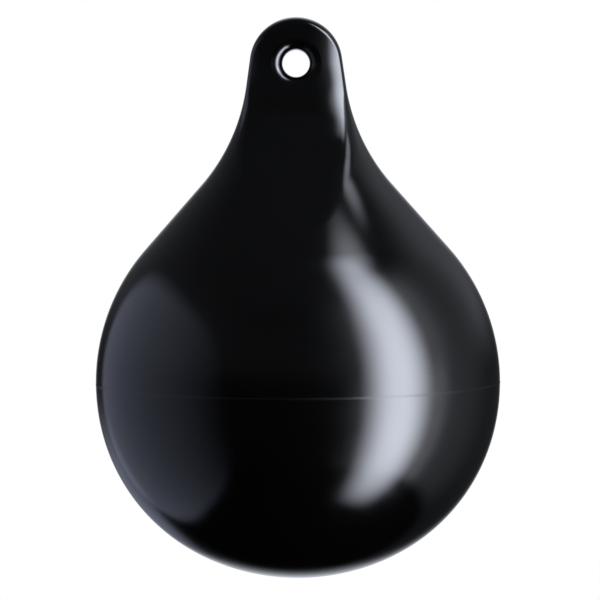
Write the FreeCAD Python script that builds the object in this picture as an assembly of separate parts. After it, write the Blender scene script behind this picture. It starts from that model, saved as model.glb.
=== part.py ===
import FreeCAD, Part
import math
import os
from FreeCAD import Rotation, Vector

# Inflatable ball fender: one moulded vinyl ball with a flattened lug and a rope eye on top, and a
# screw valve on the back of its neck. Sizes are in millimetres, angles in degrees. The origin is the
# centre of the rope eye, Z points up and the eye runs along Y. The valve is on the +Y side. The ball
# is sealed, so its body is one solid and the air space in it isn't cut out.

# Ball, widest at the parting line
ball_radius = 150.0
base_depth = 145.0            # parting line down to the lowest point, a little shallower than a ball
ridge_height = 0.5            # ridge left where the two halves of the mould meet
ridge_width = 1.6

# Neck and lug as seen from the front
eye_above_ball = 86.0         # centre of the eye, above the top of the ball if it were whole
shoulder_slope = 41.4         # straight shoulder above the ball, leaning in from the vertical
neck_flare_radius = 140.0     # hollow curve from the shoulder up to the lug
lug_draft = 8.2               # sides of the lug, leaning in from the vertical
lug_radius = 34.3             # round top of the lug, centred on the eye

# Flats on the front and back of the lug and neck, as seen from the side
lug_thickness = 30.0
flat_flare_radius = 85.0      # hollow curve where the flats turn out towards the ball
flat_slope = 46.5             # below that curve, leaning in from the vertical
flat_clearance = 1.0          # between the sloping flats and the ball
edge_round = 13.0             # along the edges between the flats and the round neck

# Rope eye
eye_radius = 10.5
eye_rim_round = 5.0

# Valve collar, moulded with the neck on the sloping part of its back flat
valve_drop = 103.0            # from the eye down to the middle of the collar
collar_radius = 15.0
collar_height = 3.0           # above the flat
collar_bevel = 1.5

# Valve body, a rigid cup and sleeve bonded into the collar
cup_radius = 11.0
cup_depth = 5.0
cup_recess = 3.4              # the screw head and its seal sit in it
sleeve_radius = 6.0
sleeve_length = 11.0
thread_radius = 4.0
recess_radius = 8.0

# Valve screw and the seal under its head
screw_clearance = 0.15        # round its head, and round its shank in the sleeve
screw_head_height = 2.2
screw_shank_length = 11.0
slot_width = 1.6
slot_depth = 1.2
seal_thickness = 1.0


def polar(centre, radius, angle):
    """Point at a radius and an angle from a centre, in the XZ plane."""
    turn = math.radians(angle)
    return centre + Vector(math.cos(turn), 0, math.sin(turn)) * radius


def arc(centre, radius, start, end):
    middle = polar(centre, radius, (start + end) / 2)
    return Part.Arc(polar(centre, radius, start), middle, polar(centre, radius, end)).toShape()


def line(start, end):
    return Part.LineSegment(start, end).toShape()


def last_point(edge):
    return edge.valueAt(edge.LastParameter)


def first_point(edge):
    return edge.valueAt(edge.FirstParameter)


def reach(point, angle):
    """Distance from the origin to the line through a point that leans in by an angle."""
    return point.x * math.cos(math.radians(angle)) + point.z * math.sin(math.radians(angle))


def crossing(angle_a, reach_a, angle_b, reach_b):
    """Point where two leaning lines cross, each given by its lean and its reach."""
    lean_a = math.radians(angle_a)
    lean_b = math.radians(angle_b)
    spread = math.sin(lean_b - lean_a)
    x = (reach_a * math.sin(lean_b) - reach_b * math.sin(lean_a)) / spread
    z = (reach_b * math.cos(lean_a) - reach_a * math.cos(lean_b)) / spread
    return Vector(x, 0, z)


def flare(lower_angle, lower_reach, upper_angle, upper_reach, radius):
    """Hollow arc that runs smoothly from a sloping line below into a steeper line above."""
    centre = crossing(lower_angle, lower_reach + radius, upper_angle, upper_reach + radius)
    return arc(centre, radius, 180 + lower_angle, 180 + upper_angle)


def base_arc(centre, across, down):
    """Arc round the axis, from the parting line down to the lowest point."""
    radius = (across**2 + down**2) / (2 * down)
    arc_centre = centre + Vector(0, 0, radius - down)
    start = math.degrees(math.atan2(down - radius, across))
    return arc(arc_centre, radius, -90, start)


def sharp_edges(shape, least_angle=3.0):
    """Edges where two faces meet at an angle, and not smoothly."""
    found = []
    for edge in shape.Edges:
        faces = shape.ancestorsOfType(edge, Part.Face)
        if len(faces) != 2:
            continue
        middle = edge.valueAt((edge.FirstParameter + edge.LastParameter) / 2)
        normals = [face.normalAt(*face.Surface.parameter(middle)) for face in faces]
        if math.degrees(normals[0].getAngle(normals[1])) > least_angle:
            found.append(edge)
    return found


def rounded(shape, radius):
    return shape.makeFillet(radius, sharp_edges(shape))


eye_height = ball_radius + eye_above_ball
ball_centre = Vector(0, 0, -eye_height)
flat_reach = reach(ball_centre, flat_slope) + ball_radius + flat_clearance


def turned_form():
    """Ball, shoulder, neck and lug, turned about the vertical axis."""
    shoulder_reach = reach(ball_centre, shoulder_slope) + ball_radius
    base = base_arc(ball_centre, ball_radius, base_depth)
    upper_ball = arc(ball_centre, ball_radius, 0, shoulder_slope)
    neck = flare(shoulder_slope, shoulder_reach, lug_draft, lug_radius, neck_flare_radius)
    crown = arc(Vector(0, 0, 0), lug_radius, lug_draft, 90)
    shoulder = line(last_point(upper_ball), first_point(neck))
    lug_side = line(last_point(neck), first_point(crown))
    axis = line(last_point(crown), ball_centre - Vector(0, 0, base_depth))
    outline = Part.Wire(Part.__sortEdges__([base, upper_ball, shoulder, neck, lug_side, crown, axis]))
    return Part.Face(outline).revolve(Vector(0, 0, 0), Vector(0, 0, 1), 360)


def space_between_flats():
    """Block with the side profile of the flats on the lug and neck, and clear of the ball below them."""
    far = 1.5 * ball_radius
    bend = flare(flat_slope, flat_reach, 0, lug_thickness / 2, flat_flare_radius)
    top = Vector(lug_thickness / 2, 0, 2 * lug_radius)
    outer = crossing(flat_slope, flat_reach, 0, far)
    bottom = Vector(far, 0, -eye_height - 2 * base_depth)
    side = [line(top, last_point(bend)), bend, line(first_point(bend), outer), line(outer, bottom)]
    other_side = [edge.mirror(Vector(0, 0, 0), Vector(1, 0, 0)) for edge in side]
    ends = [line(point, Vector(-point.x, 0, point.z)) for point in (top, bottom)]
    profile = Part.Face(Part.Wire(Part.__sortEdges__(side + other_side + ends)))
    profile.translate(Vector(0, -far, 0))
    block = profile.extrude(Vector(0, 2 * far, 0))
    block.rotate(Vector(0, 0, 0), Vector(0, 0, 1), 90)
    return block


def parting_ridge():
    """Ring with a pointed edge, sunk into the widest part of the ball."""
    crest = ball_centre + Vector(ball_radius + ridge_height, 0, 0)
    back = ball_centre + Vector(ball_radius - ridge_height, 0, 0)
    upper = back + Vector(0, 0, ridge_width)
    lower = back - Vector(0, 0, ridge_width)
    section = Part.Face(Part.makePolygon([crest, upper, lower, crest]))
    return section.revolve(Vector(0, 0, 0), Vector(0, 0, 1), 360)


def on_valve_axis(shape):
    """Moves a shape from the Z axis to the valve's axis, square to the back flat."""
    lean = math.radians(flat_slope)
    seat = crossing(flat_slope, flat_reach, 90, -valve_drop)
    outward = Vector(0, math.cos(lean), math.sin(lean))
    shape.Placement = FreeCAD.Placement(Vector(0, seat.x, seat.z), Rotation(Vector(0, 0, 1), outward))
    return shape


def disc(radius, bottom, top):
    """Cylinder round the Z axis between two heights."""
    return Part.makeCylinder(radius, top - bottom, Vector(0, 0, bottom))


cup_floor = collar_height - cup_depth
recess_floor = collar_height - cup_recess
head_bottom = recess_floor + seal_thickness
sleeve_end = cup_floor - sleeve_length


def fender_body():
    """Vinyl ball with a flattened lug, the rope eye, the parting ridge and the valve collar."""
    flattened = rounded(turned_form().common(space_between_flats()).Solids[0], edge_round)
    eye = Part.makeCylinder(eye_radius, 2 * lug_thickness, Vector(0, -lug_thickness, 0), Vector(0, 1, 0))
    with_eye = rounded(flattened.cut(eye), eye_rim_round)
    collar = disc(collar_radius, cup_floor, collar_height)
    collar = collar.makeChamfer(collar_bevel, sharp_edges(collar))
    seat = disc(cup_radius, cup_floor, collar_height).fuse(disc(sleeve_radius, sleeve_end, cup_floor))
    body = with_eye.fuse(parting_ridge()).fuse(on_valve_axis(collar)).cut(on_valve_axis(seat))
    return body.removeSplitter()


def valve_body():
    """Cup with a recess for the screw head, over a sleeve with a bore right through it."""
    cup = disc(cup_radius, cup_floor, collar_height).fuse(disc(sleeve_radius, sleeve_end, cup_floor))
    bore = disc(recess_radius, recess_floor, collar_height).fuse(disc(thread_radius, sleeve_end, recess_floor))
    return on_valve_axis(cup.cut(bore).removeSplitter())


def valve_screw():
    """Slotted head over a plain shank."""
    head_top = head_bottom + screw_head_height
    head = disc(recess_radius - screw_clearance, head_bottom, head_top)
    shank = disc(thread_radius - screw_clearance, head_bottom - screw_shank_length, head_bottom)
    slot = Part.makeBox(2 * recess_radius, slot_width, slot_depth)
    slot.translate(Vector(-recess_radius, -slot_width / 2, head_top - slot_depth))
    return on_valve_axis(head.fuse(shank).cut(slot).removeSplitter())


def valve_seal():
    """Flat ring between the screw head and the floor of the recess."""
    ring = disc(recess_radius - screw_clearance, recess_floor, head_bottom)
    return on_valve_axis(ring.cut(disc(thread_radius, recess_floor, head_bottom)))


os.makedirs("parts", exist_ok=True)
for make_part in (fender_body, valve_body, valve_screw, valve_seal):
    part = make_part()
    solids = part.Solids
    shape = solids[0] if len(solids) == 1 else part
    shape.exportStep("parts/" + make_part.__name__ + ".step")
    print(make_part.__name__, len(solids), "solid,", round(part.Volume / 1000, 1), "cm3, valid", part.isValid())
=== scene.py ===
import bpy
import math
import numpy as np
from mathutils import Matrix, Vector


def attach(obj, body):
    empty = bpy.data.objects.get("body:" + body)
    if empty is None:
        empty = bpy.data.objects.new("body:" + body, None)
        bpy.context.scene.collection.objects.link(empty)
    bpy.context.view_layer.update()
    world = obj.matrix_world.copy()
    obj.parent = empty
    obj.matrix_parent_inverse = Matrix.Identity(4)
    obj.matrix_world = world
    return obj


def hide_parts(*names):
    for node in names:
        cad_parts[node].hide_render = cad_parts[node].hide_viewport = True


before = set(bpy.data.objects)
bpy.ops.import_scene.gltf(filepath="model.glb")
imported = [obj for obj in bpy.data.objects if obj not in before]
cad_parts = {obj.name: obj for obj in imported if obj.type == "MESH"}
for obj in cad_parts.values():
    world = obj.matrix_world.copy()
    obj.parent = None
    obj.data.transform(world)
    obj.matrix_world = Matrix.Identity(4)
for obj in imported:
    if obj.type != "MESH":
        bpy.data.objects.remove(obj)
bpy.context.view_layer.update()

# Fender body: one moulding of black flexible vinyl, made in a two-part mould whose halves meet round
# the widest place of the ball. The lug on top is flat round the eye and crowned towards its sides, and
# the rope eye with its broadly rounded rims goes right through it.
MM = 0.001                    # sizes are in millimetres from the middle of the eye, angles in degrees
ball_radius = 150.0
base_depth = 145.0            # parting line down to the lowest point
base_bend_start = 15.0        # below this angle the ball bends in faster, down to the next
base_bend_end = 65.0
eye_above_ball = 86.0         # centre of the eye, above the top of the ball if it were whole
shoulder_slope = 41.4         # straight shoulder above the ball, leaning in from the vertical
neck_flare_radius = 140.0     # hollow curve from the shoulder up to the lug
lug_draft = 8.2               # sides of the lug, leaning in from the vertical
lug_radius = 34.3             # round top of the lug, centred on the eye
lug_thickness = 30.0
flat_flare_radius = 85.0      # hollow curve where the flats turn out towards the ball
flat_slope = 46.5             # below that curve, leaning in from the vertical
flat_clearance = 1.0          # between the sloping flats and the ball
flat_half_width = 9.0         # truly flat part of a face, at the height of the eye
flat_half_growth = 0.17       # how much it widens with each millimetre below the eye
crown_radius = 55.0           # of the faces beside their flat part
edge_round = 4.0              # along the edges of the lug
edge_round_growth = 0.6       # more rounding with each millimetre below the next height
edge_round_from = -22.0
edge_round_most = 50.0
eye_radius = 10.1
eye_rim_round = 8.0
ridge_height = 0.15           # ridge left where the two halves of the mould meet
ridge_reach = 0.9             # above and below the parting line
flash_reach = 1.2             # dull band at the ridge
nearly_zero = 1e-9


def unit(angle):
    return math.cos(math.radians(angle)), math.sin(math.radians(angle))


def line_piece(start, end, lean):
    """Straight piece of a profile, whose outward normal rises by the lean."""
    return {"start": np.array(start), "end": np.array(end), "normal": np.array(unit(lean))}


def arc_piece(centre, radius, first, last, hollow=False):
    """Round piece of a profile between two angles, seen from the arc's centre."""
    return {"centre": np.array(centre), "radius": radius, "angles": (first, last), "hollow": hollow}


def arc_point(centre, radius, angle):
    across, up = unit(angle)
    return centre[0] + radius * across, centre[1] + radius * up


def reach(point, lean):
    """Distance from the eye to the leaning line through a point."""
    across, up = unit(lean)
    return point[0] * across + point[1] * up


def crossing(lean_a, reach_a, lean_b, reach_b):
    """Point where two leaning lines cross, each given by its lean and its reach from the eye."""
    cos_a, sin_a = unit(lean_a)
    cos_b, sin_b = unit(lean_b)
    sine = cos_a * sin_b - sin_a * cos_b
    return (reach_a * sin_b - reach_b * sin_a) / sine, (reach_b * cos_a - reach_a * cos_b) / sine


def beside_line(piece, across, up):
    """Distance from a line's outer side, how far points lie past its ends, and the way out."""
    normal = piece["normal"]
    tangent = np.array((-normal[1], normal[0]))
    offset = np.stack((across - piece["start"][0], up - piece["start"][1]), axis=-1)
    along = offset @ tangent
    length = (piece["end"] - piece["start"]) @ tangent
    overrun = np.maximum(np.maximum(-along, along - length), 0)
    return offset @ normal, overrun, np.full(across.shape, normal[0]), np.full(across.shape, normal[1])


def beside_arc(piece, across, up):
    """The same for an arc."""
    x = across - piece["centre"][0]
    z = up - piece["centre"][1]
    radius = np.maximum(np.hypot(x, z), nearly_zero)
    sign = -1.0 if piece["hollow"] else 1.0
    middle = math.radians(sum(piece["angles"]) / 2)
    half = math.radians(abs(piece["angles"][1] - piece["angles"][0]) / 2)
    turn = np.angle(np.exp(1j * (np.arctan2(z, x) - middle)))
    overrun = np.maximum(np.abs(turn) - half, 0) * piece["radius"]
    return sign * (radius - piece["radius"]), overrun, sign * x / radius, sign * z / radius


def distance_to_profile(across, up, pieces):
    """Signed distance to a smooth profile, outside positive, and the way out."""
    past_end_cost = 1e-6      # of two pieces just as near, the one that a point lies beside counts
    best = np.full(across.shape, np.inf)
    nearest = np.zeros((3, len(across)))
    for piece in pieces:
        beside = beside_line if "normal" in piece else beside_arc
        gap, overrun, out_across, out_up = beside(piece, across, up)
        score = np.hypot(gap, overrun) + past_end_cost * overrun
        nearer = score < best
        best = np.where(nearer, score, best)
        nearest = np.where(nearer, (gap, out_across, out_up), nearest)
    return nearest


def round_over(gap_a, normal_a, gap_b, normal_b, radius):
    """Keeps what is inside both surfaces, with the edge between them rounded over."""
    nearly_one = 0.999999
    lean = np.clip(np.sum(normal_a * normal_b, axis=1), -nearly_one, nearly_one)
    a = gap_a + radius
    b = gap_b + radius
    share_a = (a - lean * b) / (1 - lean**2)
    share_b = (b - lean * a) / (1 - lean**2)
    bulge = share_a[:, None] * normal_a + share_b[:, None] * normal_b
    length = np.maximum(np.linalg.norm(bulge, axis=1), nearly_zero)
    on_edge = (share_a > 0) & (share_b > 0) & (a > 0) & (b > 0)
    a_wins = gap_a > gap_b
    gap = np.where(on_edge, length - radius, np.where(a_wins, gap_a, gap_b))
    flat_normal = np.where(a_wins[:, None], normal_a, normal_b)
    return gap, np.where(on_edge[:, None], bulge / length[:, None], flat_normal)


# Outline of the turned form, from the lowest point to the top of the lug. The base is two arcs that run
# smoothly into each other and into the ball. Its depth is bend_radius + bend_share * (ball_radius -
# bend_radius), which gives the radius of the bend.
eye_height = ball_radius + eye_above_ball
ball_centre = (0.0, -eye_height)
start_across, start_up = unit(base_bend_start)
end_across, end_up = unit(base_bend_end)
bend_share = start_across / end_across + start_up - start_across * end_up / end_across
bend_radius = (base_depth - ball_radius * bend_share) / (1 - bend_share)
bend_centre = arc_point(ball_centre, ball_radius - bend_radius, -base_bend_start)
base_radius = bend_radius + (ball_radius - bend_radius) * start_across / end_across
base_centre = (0.0, -eye_height + base_radius - base_depth)
shoulder_reach = reach(ball_centre, shoulder_slope) + ball_radius
neck_centre = crossing(shoulder_slope, shoulder_reach + neck_flare_radius,
                       lug_draft, lug_radius + neck_flare_radius)
shoulder_top = arc_point(neck_centre, -neck_flare_radius, shoulder_slope)
neck_top = arc_point(neck_centre, -neck_flare_radius, lug_draft)
outline = [
    arc_piece(base_centre, base_radius, -90, -base_bend_end),
    arc_piece(bend_centre, bend_radius, -base_bend_end, -base_bend_start),
    arc_piece(ball_centre, ball_radius, -base_bend_start, shoulder_slope),
    line_piece(arc_point(ball_centre, ball_radius, shoulder_slope), shoulder_top, shoulder_slope),
    arc_piece(neck_centre, neck_flare_radius, 180 + lug_draft, 180 + shoulder_slope, hollow=True),
    line_piece(neck_top, arc_point((0, 0), lug_radius, lug_draft), lug_draft),
    arc_piece((0, 0), lug_radius, lug_draft, 90),
]

# Side profile of the flats, from clear of the ball to above the lug
flat_reach = reach(ball_centre, flat_slope) + ball_radius + flat_clearance
flat_centre = crossing(flat_slope, flat_reach + flat_flare_radius, 0, lug_thickness / 2 + flat_flare_radius)
flare_foot = arc_point(flat_centre, -flat_flare_radius, flat_slope)
flare_top = arc_point(flat_centre, -flat_flare_radius, 0)
side_profile = [
    line_piece(crossing(flat_slope, flat_reach, 0, 2 * ball_radius), flare_foot, flat_slope),
    arc_piece(flat_centre, flat_flare_radius, 180, 180 + flat_slope, hollow=True),
    line_piece(flare_top, (lug_thickness / 2, 2 * lug_radius), 0),
]


def turned_form(x, y, z):
    """Distance to the turned form with its parting ridge, and the way out."""
    radius = np.maximum(np.hypot(x, y), nearly_zero)
    gap, out, up = distance_to_profile(radius, z, outline)
    height = (z + eye_height) / ridge_reach
    on_ridge = np.abs(height) < 1
    ridge_slope = ridge_height * math.pi / 2 / ridge_reach * np.sin(math.pi * height)
    gap = gap - np.where(on_ridge, ridge_height * np.cos(math.pi / 2 * height)**2, 0)
    normal = np.stack((out * x / radius, out * y / radius, up + np.where(on_ridge, ridge_slope, 0)), axis=1)
    return gap, normal / np.linalg.norm(normal, axis=1)[:, None]


def crowned_faces(x, y, z):
    """Distance to the two faces of the lug and neck, and the way out."""
    behind_face = crown_radius - lug_thickness / 2
    beside_flat = np.maximum(np.abs(x) - flat_half_width - flat_half_growth * np.maximum(-z, 0), 0)
    before_back = np.abs(y) + behind_face
    far = np.hypot(beside_flat, before_back)
    gap, out, up = distance_to_profile(far - behind_face, z, side_profile)
    sideways = out * beside_flat / far * np.sign(x)
    return gap, np.stack((sideways, out * before_back / far * np.sign(y), up), axis=1)


def eye_wall(x, z):
    """Distance to the wall of the eye, and the way into the eye."""
    from_middle = np.maximum(np.hypot(x, z), nearly_zero)
    inward = np.stack((-x / from_middle, np.zeros(len(x)), -z / from_middle), axis=1)
    return eye_radius - from_middle, inward


def moulded_form(points):
    """Distance to the surface of the moulding, outside positive, and the way out."""
    x, y, z = points.T
    rounding = edge_round + edge_round_growth * np.maximum(edge_round_from - z, 0)
    rounding = np.minimum(rounding, edge_round_most)
    outside = round_over(*turned_form(x, y, z), *crowned_faces(x, y, z), rounding)
    return round_over(*outside, *eye_wall(x, z), eye_rim_round)


def profile_table(pieces, steps=600):
    """Heights along a profile in rising order, and the distance from the axis at each."""
    places = []
    for piece in pieces:
        if "normal" in piece:
            places += [tuple(piece["start"]), tuple(piece["end"])]
        else:
            angles = np.linspace(*piece["angles"], steps)
            places += [arc_point(piece["centre"], piece["radius"], angle) for angle in angles]
    places.sort(key=lambda place: place[1])
    return np.array([up for across, up in places]), np.array([across for across, up in places])


outline_table = profile_table(outline)
side_table = profile_table(side_profile)


def outline_radius(height):
    """Radius of the turned form at a height."""
    return np.interp(height, *outline_table)


def flat_distance(height):
    """Half the thickness between the two flats at a height."""
    return np.interp(height, *side_table)


# The mesh is a net of four-sided faces: a square patch under the ball, rings up to the lug, a net round
# the eye on each face of the lug, and a band over the top of the lug between the two. It is laid out
# roughly and then drawn onto the exact form.
quarter = 64                  # faces along each side of the patch, and along a quarter of each ring
cap_angle = 35.0              # edge of the patch, from the lowest point
base_rings = 52
ridge_rings = 13
ridge_margin = 1.2            # these rings reach a little past the ridge
ball_rings = 44
neck_rings = 56
ring_gap = 0.8                # least distance between other rings and those at the ridge
square_from = -150.0          # rings turn from round to the section of the lug from here up
lug_foot = -42.0
side_steps = 20
face_steps = 14
rim_steps = 8
bore_steps = 6
drawing_rounds = 12
normal_step = 0.2             # the mesh's normals come from the slope of the form over this distance
vertices = []
faces = []


def add_points(points):
    """Adds points to the net and gives their numbers."""
    first = len(vertices)
    vertices.extend(points)
    return np.arange(first, len(vertices))


def add_net(rows, closed=False):
    """Four-sided faces between neighbouring rows of vertex numbers."""
    for low, high in zip(rows[:-1], rows[1:]):
        pairs = len(low) if closed else len(low) - 1
        for i in range(pairs):
            k = (i + 1) % len(low)
            faces.append((low[i], low[k], high[k], high[i]))


def patch_point(i, k):
    """Point of the patch under the ball, a square net that is drawn out to a round edge."""
    u = math.sqrt(2) * math.sin(math.pi / 4 * (2 * i / quarter - 1))
    v = math.sqrt(2) * math.sin(math.pi / 4 * (2 * k / quarter - 1))
    x = u * math.sqrt(1 - v * v / 2)
    y = v * math.sqrt(1 - u * u / 2)
    polar = math.hypot(x, y) * math.radians(cap_angle)
    around = math.atan2(y, x)
    out = base_radius * math.sin(polar)
    return out * math.cos(around), out * math.sin(around), base_centre[1] - base_radius * math.cos(polar)


def squareness(height):
    """0 on the ball, rising smoothly to 1 at the foot of the lug."""
    t = min(max((height - square_from) / (lug_foot - square_from), 0), 1)
    return t * t * (3 - 2 * t)


def ring(height):
    """Points round the body at a height, from the front left corner and anticlockwise from above."""
    share = squareness(height)
    width = outline_radius(height)
    depth = min(flat_distance(height), width)
    lug_corner = math.acos(min(depth / width, math.cos(math.pi / 4)))
    corner = math.pi / 4 + share * (lug_corner - math.pi / 4)
    points = []
    for side in range(4):
        on_face = side % 2 == 0
        half = corner if on_face else math.pi / 2 - corner
        for step in range(quarter):
            t = 2 * step / quarter - 1
            turn = half * t
            if on_face:
                turn += share * (math.atan(math.tan(half) * t) - turn)
            turn += (side - 1) * math.pi / 2
            across = max(abs(math.sin(turn)), nearly_zero)
            out = min(width, depth / across)
            points.append((out * math.cos(turn), out * math.sin(turn), height))
    return points


patch = np.array([[add_points([patch_point(i, k)])[0] for k in range(quarter + 1)]
                  for i in range(quarter + 1)])
add_net([patch[:, k] for k in range(quarter, -1, -1)])
patch_edge = np.concatenate((patch[:-1, 0], patch[-1, :-1], patch[:0:-1, -1], patch[0, :0:-1]))

base_turns = np.radians(cap_angle + (90 - cap_angle) * np.arange(1, base_rings) / base_rings)
base_heights = base_centre[1] - base_radius * np.cos(base_turns)
ridge_heights = -eye_height + ridge_reach * np.linspace(-ridge_margin, ridge_margin, ridge_rings)
ball_turns = np.radians(shoulder_slope * np.arange(1, ball_rings) / ball_rings)
ball_heights = -eye_height + ball_radius * np.sin(ball_turns)
neck_heights = np.linspace(-eye_height + ball_radius * unit(shoulder_slope)[1], lug_foot, neck_rings)
ring_heights = np.concatenate((base_heights[base_heights < ridge_heights[0] - ring_gap], ridge_heights,
                               ball_heights[ball_heights > ridge_heights[-1] + ring_gap], neck_heights))
rings = [patch_edge] + [add_points(ring(height)) for height in ring_heights]
add_net(rings, closed=True)
lug_ring = rings[-1]


def side_edge(height):
    """Point in the plane of the lug's face where face and side would meet in a sharp edge."""
    return math.sqrt(outline_radius(height)**2 - flat_distance(height)**2), height


def band_row(x, z):
    """Points across the edge of the lug, from its front to its back, at a point of the edge."""
    depth = flat_distance(z)
    points = []
    for t in np.linspace(-1, 1, quarter + 1):
        if z <= 0:
            width = outline_radius(z)
            turn = math.asin(min(depth / width, 1)) * t
            points.append((math.copysign(width * math.cos(turn), x), width * math.sin(turn), z))
        else:
            scale = math.sqrt(lug_radius**2 - (depth * t)**2) / math.hypot(x, z)
            points.append((x * scale, depth * t, z * scale))
    return points


right_side = [side_edge(height) for height in np.linspace(lug_foot, 0, side_steps + 1)[1:]]
top_radius = math.sqrt(lug_radius**2 - (lug_thickness / 2)**2)
top = [arc_point((0, 0), top_radius, 180 * step / quarter) for step in range(1, quarter)]
left_side = [(-x, z) for x, z in right_side[::-1]]
band = [add_points(band_row(x, z)) for x, z in right_side + top + left_side]
right_foot = lug_ring[quarter:2 * quarter + 1]
left_foot = np.append(lug_ring[3 * quarter:], lug_ring[0])
add_net([right_foot] + band + [left_foot[::-1]])


def face_net(edge, side, middle=None):
    """Rows from the edge of a face of the lug to the rim of the eye and halfway through the eye. The
    second face ends on the middle row of the first."""
    edge_x, _, edge_z = np.array([vertices[i] for i in edge]).T
    turn = np.arctan2(edge_z, edge_x)
    rim_reach = eye_radius + eye_rim_round
    rim_x, rim_z = rim_reach * np.cos(turn), rim_reach * np.sin(turn)
    rows = [edge]
    for t in np.arange(1, face_steps + 1) / face_steps:
        x = edge_x + t * (rim_x - edge_x)
        z = edge_z + t * (rim_z - edge_z)
        rows.append(add_points(zip(x, side * flat_distance(z), z)))
    for bend in np.radians(90 * np.arange(1, rim_steps + 1) / rim_steps):
        radius = rim_reach - eye_rim_round * math.sin(bend)
        x, z = radius * np.cos(turn), radius * np.sin(turn)
        y = side * (flat_distance(rim_z) - eye_rim_round * (1 - math.cos(bend)))
        rows.append(add_points(zip(x, y, z)))
    bore_rows = bore_steps if middle is None else bore_steps - 1
    for t in np.arange(1, bore_rows + 1) / bore_steps:
        rows.append(add_points(zip(x, y * (1 - t), z)))
    return rows if middle is None else rows + [middle]


front_edge = np.append(lug_ring[:quarter + 1], [row[0] for row in band])
back_edge = np.append(lug_ring[2 * quarter:3 * quarter + 1][::-1], [row[-1] for row in band])
front_rows = face_net(front_edge, -1)
back_rows = face_net(back_edge, 1, middle=front_rows[-1])
add_net(front_rows, closed=True)
add_net([row[::-1] for row in back_rows], closed=True)

points = np.array(vertices, dtype=float)
for _ in range(drawing_rounds):
    gap, normal = moulded_form(points)
    points -= gap[:, None] * normal
slopes = [moulded_form(points + step)[0] - moulded_form(points - step)[0] for step in normal_step * np.eye(3)]
normals = np.stack(slopes, axis=1)
normals /= np.linalg.norm(normals, axis=1)[:, None]


def add_object(name, points, faces, smooth=False):
    mesh = bpy.data.meshes.new(name)
    mesh.from_pydata(points, [], faces)
    mesh.validate()
    mesh.polygons.foreach_set("use_smooth", [smooth] * len(mesh.polygons))
    added = bpy.data.objects.new(name, mesh)
    bpy.context.scene.collection.objects.link(added)
    return added


fender_body = add_object("fender_body_moulding", (points * MM).tolist(), faces, smooth=True)
fender_body.data.normals_split_custom_set_from_vertices(normals.tolist())


def moulded_surface_group():
    """Effect shared by the moulded pieces: a fine grain, long soft waves and a cloudy finish."""
    clouds_per_wave = 1.6
    group = bpy.data.node_groups.new("moulded_surface", "ShaderNodeTree")
    for name in ("Grain Size", "Wave Size"):
        group.interface.new_socket(name, in_out="INPUT", socket_type="NodeSocketFloat")
    for name in ("Grain", "Waves", "Clouds"):
        group.interface.new_socket(name, in_out="OUTPUT", socket_type="NodeSocketFloat")
    nodes, links = group.nodes, group.links
    sizes = nodes.new("NodeGroupInput")
    results = nodes.new("NodeGroupOutput")
    place = nodes.new("ShaderNodeTexCoord")
    layers = (("Grain", "Grain Size", 1.0, 2.0), ("Waves", "Wave Size", 1.0, 1.0),
              ("Clouds", "Wave Size", clouds_per_wave, 5.0))
    for name, size, count, detail in layers:
        scale = nodes.new("ShaderNodeMath")
        scale.operation = "DIVIDE"
        scale.inputs[0].default_value = count
        links.new(sizes.outputs[size], scale.inputs[1])
        noise = nodes.new("ShaderNodeTexNoise")
        noise.inputs["Detail"].default_value = detail
        links.new(place.outputs["Object"], noise.inputs["Vector"])
        links.new(scale.outputs[0], noise.inputs["Scale"])
        links.new(noise.outputs["Fac"], results.inputs[name])
    return group


moulded_surface = moulded_surface_group()


def new_material(name, colour, roughness):
    material = bpy.data.materials.new(name)
    material.use_nodes = True
    shader = material.node_tree.nodes["Principled BSDF"]
    shader.inputs["Base Color"].default_value = (*colour, 1)
    shader.inputs["Roughness"].default_value = roughness
    return material, shader


def add_surface(material, grain_size, wave_size):
    """Places the shared effect in a material."""
    node = material.node_tree.nodes.new("ShaderNodeGroup")
    node.node_tree = moulded_surface
    node.inputs["Grain Size"].default_value = grain_size
    node.inputs["Wave Size"].default_value = wave_size
    return node


def spread(owner, value, low, high, from_low=0.3, from_high=0.7, interpolation="LINEAR"):
    """Stretches a value that changes over the surface to a range."""
    node = owner.node_tree.nodes.new("ShaderNodeMapRange")
    node.interpolation_type = interpolation
    node.inputs["From Min"].default_value = from_low
    node.inputs["From Max"].default_value = from_high
    node.inputs["To Min"].default_value = low
    node.inputs["To Max"].default_value = high
    owner.node_tree.links.new(value, node.inputs["Value"])
    return node.outputs["Result"]


def combine(owner, operation, *values):
    """Math node whose inputs are other nodes' outputs or plain numbers."""
    node = owner.node_tree.nodes.new("ShaderNodeMath")
    node.operation = operation
    for socket, value in zip(node.inputs, values):
        if isinstance(value, (int, float)):
            socket.default_value = value
        else:
            owner.node_tree.links.new(value, socket)
    return node.outputs[0]


def split_vector(owner, vector):
    """Outputs X, Y and Z of a vector."""
    node = owner.node_tree.nodes.new("ShaderNodeSeparateXYZ")
    owner.node_tree.links.new(vector, node.inputs[0])
    return node.outputs


def add_bump(material, shader, height, distance, before=None):
    node = material.node_tree.nodes.new("ShaderNodeBump")
    node.inputs["Distance"].default_value = distance
    material.node_tree.links.new(height, node.inputs["Height"])
    if before is not None:
        material.node_tree.links.new(before, node.inputs["Normal"])
    material.node_tree.links.new(node.outputs["Normal"], shader.inputs["Normal"])
    return node.outputs["Normal"]


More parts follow.
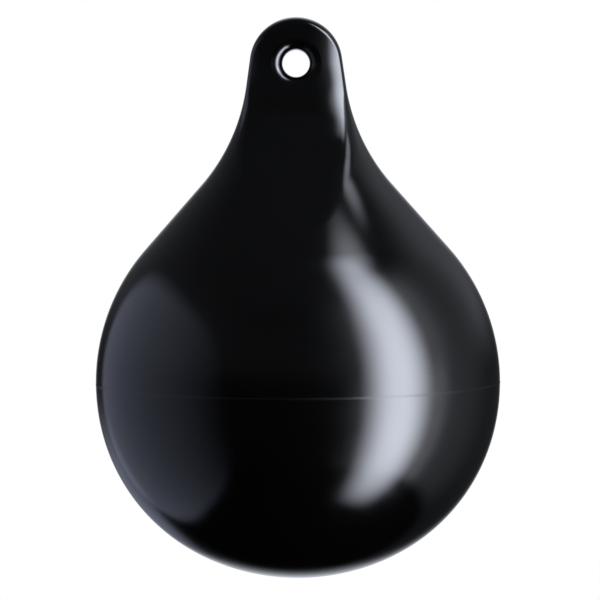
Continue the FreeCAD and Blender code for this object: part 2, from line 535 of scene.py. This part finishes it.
def vinyl_material():
    """Black vinyl with a deep moulded gloss, a little duller where the mould halves met."""
    most_gloss, least_gloss, flash_dulling = 0.11, 0.16, 0.1
    grain_size, wave_size = 0.9 * MM, 50 * MM
    grain_depth, wave_depth = 0.003 * MM, 0.2 * MM
    vinyl, shader = new_material("black_vinyl", (0.001, 0.001, 0.001), most_gloss)
    shader.inputs["IOR"].default_value = 1.55
    shader.inputs["Specular IOR Level"].default_value = 1.0
    surface = add_surface(vinyl, grain_size, wave_size)
    finish = spread(vinyl, surface.outputs["Clouds"], most_gloss, least_gloss)
    place = vinyl.node_tree.nodes.new("ShaderNodeTexCoord")
    height = split_vector(vinyl, place.outputs["Object"])["Z"]
    from_parting = combine(vinyl, "ABSOLUTE", combine(vinyl, "ADD", height, eye_height * MM))
    flash = spread(vinyl, from_parting, flash_dulling, 0, flash_reach * MM / 2, flash_reach * MM)
    vinyl.node_tree.links.new(combine(vinyl, "ADD", finish, flash), shader.inputs["Roughness"])
    waves = add_bump(vinyl, shader, surface.outputs["Waves"], wave_depth)
    add_bump(vinyl, shader, surface.outputs["Grain"], grain_depth, waves)
    return vinyl


vinyl = vinyl_material()
fender_body.data.materials.append(vinyl)
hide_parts("fender_body")
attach(fender_body, "root")

# Valve collar: a low ring moulded with the neck on the sloping part of its back face. It has a small
# fillet at its foot and a bevelled rim, and the valve body sits in it.
valve_drop = 103.0            # from the eye down to the middle of the collar
collar_radius = 15.0
collar_height = 3.0           # above the flat
collar_bevel = 1.5
collar_foot = 1.2             # fillet where it meets the neck
collar_corner = 0.4           # rounding of its other corners
collar_hem = (0.5, -0.3)      # from the end of the fillet, outwards and into the neck
collar_sink = 1.0             # inner wall, below the flat
cup_radius = 11.0
collar_steps = 96


def rounded_corner(before, corner, after, radius, steps=5):
    """Points of the arc that rounds a corner of a profile."""
    to_before = (before - corner).normalized()
    to_after = (after - corner).normalized()
    half = to_before.angle(to_after) / 2
    centre = corner + (to_before + to_after).normalized() * (radius / math.sin(half))
    first = corner + to_before * (radius / math.tan(half)) - centre
    last = corner + to_after * (radius / math.tan(half)) - centre
    return [centre + first.slerp(last, step / steps) for step in range(steps + 1)]


collar_corners = [Vector(corner) for corner in (
    (cup_radius, -collar_sink), (cup_radius, collar_height),
    (collar_radius - collar_bevel, collar_height), (collar_radius, collar_height - collar_bevel),
    (collar_radius, 0), (2 * collar_radius, 0))]
collar_rounds = (collar_corner, collar_corner, collar_corner, collar_foot)
collar_profile = [collar_corners[0]]
for i, radius in enumerate(collar_rounds):
    collar_profile += rounded_corner(*collar_corners[i:i + 3], radius)
collar_profile.append(collar_profile[-1] + Vector(collar_hem))

seat = Vector((0, *crossing(flat_slope, flat_reach, 90, -valve_drop)))
lean_across, lean_up = unit(flat_slope)
valve_outward = Vector((0, lean_across, lean_up))
valve_upward = Vector((0, -lean_up, lean_across))
collar_points = []
for step in range(collar_steps):
    across, along = unit(360 * step / collar_steps)
    sideways = Vector((across, 0, 0)) + along * valve_upward
    collar_points += [(seat + out * sideways + height * valve_outward) * MM for out, height in collar_profile]
rows = np.arange(len(collar_points)).reshape(collar_steps, -1).tolist()
collar_faces = [face for here, there in zip(rows, rows[1:] + rows[:1])
                for face in zip(here[:-1], there[:-1], there[1:], here[1:])]
valve_collar = add_object("valve_collar", collar_points, collar_faces, smooth=True)
valve_collar.data.materials.append(vinyl)
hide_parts("fender_body")
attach(valve_collar, "root")

# Valve body: a rigid cup of black plastic bonded into the collar, with a fine satin finish from its
# mould.


def plastic_material(name, colour, most_gloss, least_gloss):
    """Plastic or rubber with a fine grain and a cloudy finish."""
    grain_size, wave_size, grain_depth = 0.4 * MM, 8 * MM, 0.01 * MM
    plastic, shader = new_material(name, colour, most_gloss)
    surface = add_surface(plastic, grain_size, wave_size)
    finish = spread(plastic, surface.outputs["Clouds"], most_gloss, least_gloss)
    plastic.node_tree.links.new(finish, shader.inputs["Roughness"])
    add_bump(plastic, shader, surface.outputs["Grain"], grain_depth)
    return plastic


def dress(node, material):
    """Gives a piece its material and leaves its mesh as it is."""
    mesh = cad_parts[node].data
    mesh.materials.clear()
    mesh.materials.append(material)


dress("valve_body", plastic_material("satin_plastic", colour=(0.03, 0.03, 0.032),
                                     most_gloss=0.32, least_gloss=0.44))

# Valve screw: a slotted screw of the same plastic, rubbed a little smoother on its head by fingers and
# coins.
dress("valve_screw", plastic_material("handled_plastic", colour=(0.032, 0.032, 0.034),
                                      most_gloss=0.24, least_gloss=0.36))

# Valve seal: a flat ring of soft black rubber under the screw head, matt all over. It is squeezed
# between the head and the floor of the cup.
dress("valve_seal", plastic_material("seal_rubber", colour=(0.015, 0.015, 0.015),
                                     most_gloss=0.7, least_gloss=0.82))

# Floor: plain pale paper far below, because the fender hangs from its eye. In a picture it is half lit
# by the lamps and half as white as the backdrop, and it keeps the fender's shadow.
floor_height = -2.6
floor_reach = 3.0
paper_colour = (0.85, 0.85, 0.85)
paper_roughness = 0.9
backdrop_share = 0.5
floor_corners = [(-1, -1), (1, -1), (1, 1), (-1, 1)]
floor_points = [(floor_reach * x, floor_reach * y, floor_height) for x, y in floor_corners]
floor = add_object("floor", floor_points, [(0, 1, 2, 3)])


def seen_directly(owner):
    """1 for what the camera sees, straight, in a gloss or through something clear, and otherwise 0."""
    path = owner.node_tree.nodes.new("ShaderNodeLightPath")
    in_gloss = combine(owner, "MAXIMUM", path.outputs["Is Camera Ray"], path.outputs["Is Glossy Ray"])
    return combine(owner, "MAXIMUM", in_gloss, path.outputs["Is Transmission Ray"])


def paper_material():
    paper, shader = new_material("pale_paper", paper_colour, paper_roughness)
    nodes, links = paper.node_tree.nodes, paper.node_tree.links
    white = nodes.new("ShaderNodeEmission")
    white.inputs["Color"].default_value = (1, 1, 1, 1)
    mix = nodes.new("ShaderNodeMixShader")
    links.new(combine(paper, "MULTIPLY", seen_directly(paper), backdrop_share), mix.inputs[0])
    links.new(shader.outputs[0], mix.inputs[1])
    links.new(white.outputs[0], mix.inputs[2])
    links.new(mix.outputs[0], nodes["Material Output"].inputs["Surface"])
    return paper


floor.data.materials.append(paper_material())

# Backdrop: a plain white room round everything. It is white where the camera sees it, and lights the
# fender less.
room_light = 0.35
world = bpy.data.worlds.new("white_room")
bpy.context.scene.world = world
world.use_nodes = True
white = world.node_tree.nodes.new("ShaderNodeMix")
white.data_type = "RGBA"
white.inputs["A"].default_value = (room_light, room_light, room_light, 1)
white.inputs["B"].default_value = (1, 1, 1, 1)
world.node_tree.links.new(seen_directly(world), white.inputs["Factor"])
world.node_tree.links.new(white.outputs["Result"], world.node_tree.nodes["Background"].inputs["Color"])

# Painted reflection: a glowing sheet round the fender that stands in for the studio its gloss mirrors, so
# that it doesn't mirror the white room. Only the fender's gloss sees it. It is thin and bright right behind
# the fender.
reflection_sheet_radius = 2.2
reflection_sheet_bottom = -2.5
reflection_sheet_top = 2.8
reflection_sheet_step = 2                # degrees
reflection_sheet_colour = (0.86, 0.9, 1.0)
overhead_level = 0.035

# Heights between which the brightness of the painted reflection sheet changes
foot_rise = (-2.5, -2.0)      # from black to full
sides_change = (-0.3, 0.35)   # from the lower to the upper levels
behind_rise = (-2.45, -0.85)  # start of the bright place behind the fender
behind_fall = (0.6, 1.9)      # end of it
overhead_change = (1.4, 2.75)  # from the levels round the fender to the one overhead

# Brightness of the painted reflection sheet by the angle round the fender, 0 in front and 90 on the right
low_levels = ((-180, 0.03), (-160, 0.01), (-120, 0.008), (-60, 0.001), (0, 0), (14, 0.004),
              (22, 0.02), (30, 0.1), (60, 0.5), (84, 0.9), (88, 0.5), (93, 0.22), (102, 0.18),
              (112, 0.13), (122, 0.07), (132, 0.03), (150, 0.015), (165, 0.02), (180, 0.03))
high_levels = ((-180, 0.06), (-168, 0.08), (-155, 0.07), (-140, 0.06), (-125, 0.05), (-112, 0.05),
               (-95, 0.05), (-65, 0.04), (-40, 0.03), (0, 0.02), (14, 0.03), (28, 0.1), (60, 0.4),
               (84, 0.6), (92, 0.28), (102, 0.16), (112, 0.15), (122, 0.17), (132, 0.22),
               (142, 0.23), (152, 0.15), (165, 0.12), (180, 0.06))
behind_levels = ((-180, 1), (-173, 0.85), (-165, 0.1), (-157, 0), (157, 0), (165, 0.1), (173, 0.85), (180, 1))

reflection_sheet_points = []
for turn in np.radians(np.arange(0, 360, reflection_sheet_step)):
    across, along = reflection_sheet_radius * math.sin(turn), reflection_sheet_radius * math.cos(turn)
    reflection_sheet_points += [(across, along, reflection_sheet_bottom), (across, along, reflection_sheet_top)]
count = len(reflection_sheet_points)
reflection_sheet_faces = [(i, (i + 2) % count, (i + 3) % count, i + 1) for i in range(0, count, 2)]
reflection_sheet_faces += [tuple(range(0, count, 2)), tuple(range(1, count, 2))]
# Painted reflection: this glowing sheet is seen only in the fender's gloss
reflection_sheet = add_object("painted_reflection_sheet", reflection_sheet_points, reflection_sheet_faces)
for ray in ("camera", "diffuse", "transmission", "volume_scatter", "shadow"):
    setattr(reflection_sheet, "visible_" + ray, False)


def level_ramp(material, around, levels):
    """Brightness that follows the angle round the fender."""
    node = material.node_tree.nodes.new("ShaderNodeValToRGB")
    node.color_ramp.interpolation = "B_SPLINE"
    stops = node.color_ramp.elements
    while len(stops) < len(levels):
        stops.new(0.5)
    for stop, (angle, level) in zip(stops, levels):
        stop.position = (angle + 180) / 360
        stop.color = (level, level, level, 1)
    material.node_tree.links.new(around, node.inputs["Fac"])
    return node.outputs["Color"]


def mixed(material, share, first, second):
    """First value where the share is 0 and second value where it is 1."""
    other = combine(material, "SUBTRACT", 1.0, share)
    return combine(material, "ADD", combine(material, "MULTIPLY", other, first),
                   combine(material, "MULTIPLY", share, second))


def rising(material, height, start_and_end, interpolation="SMOOTHSTEP"):
    """0 below a height, rising smoothly to 1 at another."""
    return spread(material, height, 0, 1, *start_and_end, interpolation)


def painted_reflection_material():
    """Painted reflection that glows for the fender's gloss only: nearly black in front and below, grey on the
    right and bright right behind.
    """
    reflection_paint = bpy.data.materials.new("painted_reflection_sheet")
    reflection_paint.use_nodes = True
    nodes, links = reflection_paint.node_tree.nodes, reflection_paint.node_tree.links
    nodes.remove(nodes["Principled BSDF"])
    place = split_vector(reflection_paint, nodes.new("ShaderNodeNewGeometry").outputs["Position"])
    height = place["Z"]
    azimuth = combine(reflection_paint, "ARCTAN2", place["X"], combine(reflection_paint, "MULTIPLY", place["Y"], -1.0))
    around = spread(reflection_paint, azimuth, 0, 1, -math.pi, math.pi)
    sides = mixed(reflection_paint, rising(reflection_paint, height, sides_change),
                  level_ramp(reflection_paint, around, low_levels), level_ramp(reflection_paint, around, high_levels))
    behind_height = combine(reflection_paint, "MULTIPLY", rising(reflection_paint, height, behind_rise, "SMOOTHERSTEP"),
                            spread(reflection_paint, height, 1, 0, *behind_fall, "SMOOTHSTEP"))
    behind = combine(reflection_paint, "MULTIPLY", level_ramp(reflection_paint, around, behind_levels), behind_height)
    level = mixed(reflection_paint, rising(reflection_paint, height, overhead_change),
                  combine(reflection_paint, "ADD", sides, behind), overhead_level)
    level = combine(reflection_paint, "MULTIPLY", level, rising(reflection_paint, height, foot_rise))
    # The painted reflection glows at this level
    glow = nodes.new("ShaderNodeEmission")
    glow.inputs["Color"].default_value = (*reflection_sheet_colour, 1)
    links.new(level, glow.inputs["Strength"])
    links.new(glow.outputs[0], nodes["Material Output"].inputs["Surface"])
    return reflection_paint


reflection_sheet.data.materials.append(painted_reflection_material())

# Lamps: a tall strip lamp on the right, a wide dim oval panel on the left, a small dim one behind it,
# and two small ones close to the neck. All of them fade out towards their edges.
strip_colour = (0.83, 0.88, 1.0)
panel_colour = (0.68, 0.74, 1.0)
neck_lamp_colour = (0.85, 0.9, 1.0)


def light_panel(name, azimuth, distance, height, facing, width, tall, level, colour):
    """Panel that faces a height on the fender's axis. Gives its place sockets, 0 to 1 both ways."""
    lamp = bpy.data.lights.new(name, "AREA")
    lamp.shape = "RECTANGLE"
    lamp.size = width
    lamp.size_y = tall
    lamp.energy = level * math.pi * width * tall
    lamp.color = colour
    lamp.use_nodes = True
    place = lamp.node_tree.nodes.new("ShaderNodeNewGeometry").outputs["Parametric"]
    panel = bpy.data.objects.new(name, lamp)
    across, along = unit(azimuth - 90)
    panel.location = (distance * across, distance * along, height)
    outward = panel.location - Vector((0, 0, facing))
    panel.rotation_euler = outward.to_track_quat("Z", "Y").to_euler()
    panel.visible_camera = False
    bpy.context.scene.collection.objects.link(panel)
    sockets = split_vector(lamp, place)
    return lamp, sockets["X"], sockets["Y"]


def fade(lamp, *edges):
    """Dims a lamp by each given value, from dark at its start to full at its end."""
    strength = 1.0
    for value, dark, full in edges:
        share = spread(lamp, value, 0, 1, dark, full, "SMOOTHSTEP")
        strength = combine(lamp, "MULTIPLY", strength, share)
    lamp.node_tree.links.new(strength, lamp.node_tree.nodes["Emission"].inputs["Strength"])


def from_middle(lamp, across, up, squareness):
    """Distance from the middle of a panel, 1 on the oval that touches its four sides."""
    powers = []
    for value in (across, up):
        offset = combine(lamp, "ABSOLUTE", combine(lamp, "MULTIPLY_ADD", value, 2.0, -1.0))
        powers.append(combine(lamp, "POWER", offset, squareness))
    return combine(lamp, "POWER", combine(lamp, "ADD", *powers), 1 / squareness)


strip, across, up = light_panel("right_strip_box", azimuth=53.7, distance=0.8, height=0.16, facing=0.16,
                                width=0.7, tall=4.32, level=6.9, colour=strip_colour)
fade(strip, (across, 0, 0.46), (across, 1, 0.54), (up, 0, 0.35), (up, 1, 0.43))

panel, across, up = light_panel("left_oval_panel", azimuth=-90, distance=1.2, height=-0.67, facing=-0.67,
                                width=3.4, tall=2.86, level=0.37, colour=panel_colour)
fade(panel, (from_middle(panel, across, up, squareness=3.0), 1, 0.8), (across, 0.98, 0.25))

rear, across, up = light_panel("left_rear_panel", azimuth=-148, distance=1.2, height=-0.78, facing=-0.78,
                               width=0.85, tall=0.95, level=0.36, colour=panel_colour)
fade(rear, (from_middle(rear, across, up, squareness=2.5), 1, 0.3))

neck, across, up = light_panel("high_panel", azimuth=86.5, distance=0.172, height=0.136, facing=-0.13,
                               width=0.095, tall=0.08, level=1.45, colour=neck_lamp_colour)
fade(neck, (from_middle(neck, across, up, squareness=2.0), 1, 0.2))

crest, across, up = light_panel("high_crest_panel", azimuth=46, distance=0.192, height=0.08, facing=-0.29,
                                width=0.15, tall=0.14, level=2.15, colour=neck_lamp_colour)
fade(crest, (from_middle(crest, across, up, squareness=2.0), 1, 0))

# Camera: level with the lower part of the neck and a long way off, as in the photograph. It looks
# slightly down at the ball.
camera_aside = 0.00188
camera_distance = 2.0
camera_height = -0.0744
target_height = -0.1751
camera_roll = -0.006
camera_data = bpy.data.cameras.new("camera")
camera_data.sensor_width = 36
camera_data.lens = 161.7
camera_data.clip_end = 50
camera = bpy.data.objects.new("camera", camera_data)
bpy.context.scene.collection.objects.link(camera)
camera.location = (camera_aside, -camera_distance, camera_height)
look = (Vector((camera_aside, 0, target_height)) - camera.location).to_track_quat("-Z", "Y")
camera.rotation_euler = (look.to_matrix() @ Matrix.Rotation(camera_roll, 3, "Z")).to_euler()
bpy.context.scene.camera = camera
bpy.context.scene.view_settings.view_transform = "Standard"
